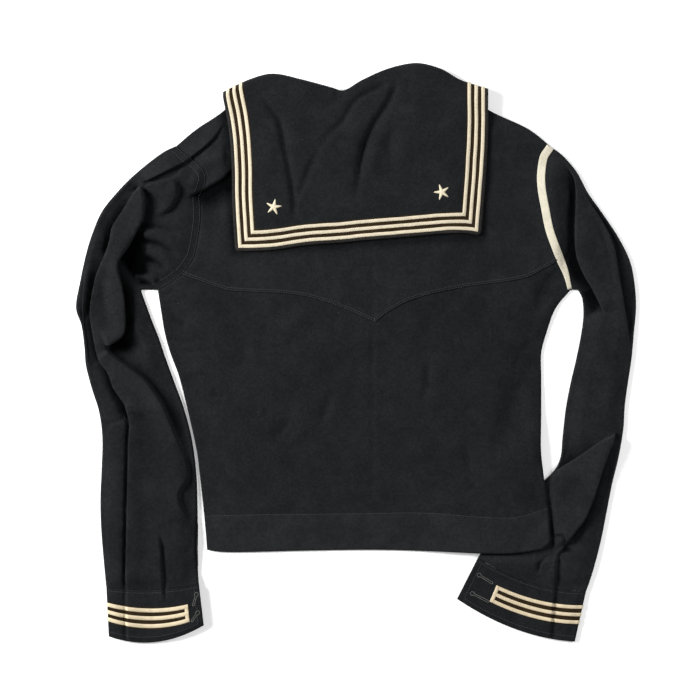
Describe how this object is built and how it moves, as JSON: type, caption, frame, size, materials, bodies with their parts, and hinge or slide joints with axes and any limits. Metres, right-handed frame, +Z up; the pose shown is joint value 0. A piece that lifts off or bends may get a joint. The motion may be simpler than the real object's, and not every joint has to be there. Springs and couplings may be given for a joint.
{
  "type": "middy shirt",
  "caption": "Dark wool sailor's jumper laid flat on its front, with a square striped collar, pointed back yoke and striped cuffs.",
  "frame": {"origin": "centre of the outline's box, on the surface that the shirt lies on", "axes": "+X across the shoulders from the left sleeve to the right sleeve as seen from above, +Y from the hem to the neck, +Z up out of the back"},
  "size_m": [0.7, 0.7232, 0.0136],
  "materials": {
    "wool": "matt navy-black wool melton",
    "tape_cream": "flat woven cream braid",
    "tape_ivory": "flat woven ivory braid",
    "button": "polished black"
  },
  "bodies": {
    "root": {"front_panel": "wool", "back_panel": "wool", "back_yoke": "wool", "sleeve_left": "wool", "sleeve_right": "wool", "cuff_left": "wool", "cuff_right": "wool", "collar": "wool", "collar_tape_outer": "tape_cream", "collar_tape_middle": "tape_cream", "collar_tape_inner": "tape_cream", "star_left": "tape_cream", "star_right": "tape_cream", "cuff_tape_left": "tape_cream", "cuff_tape_right": "tape_cream", "shoulder_tape": "tape_ivory", "cuff_button_left_1": "button", "cuff_button_left_2": "button", "cuff_button_right_1": "button", "cuff_button_right_2": "button"}
  },
  "joints": []
}
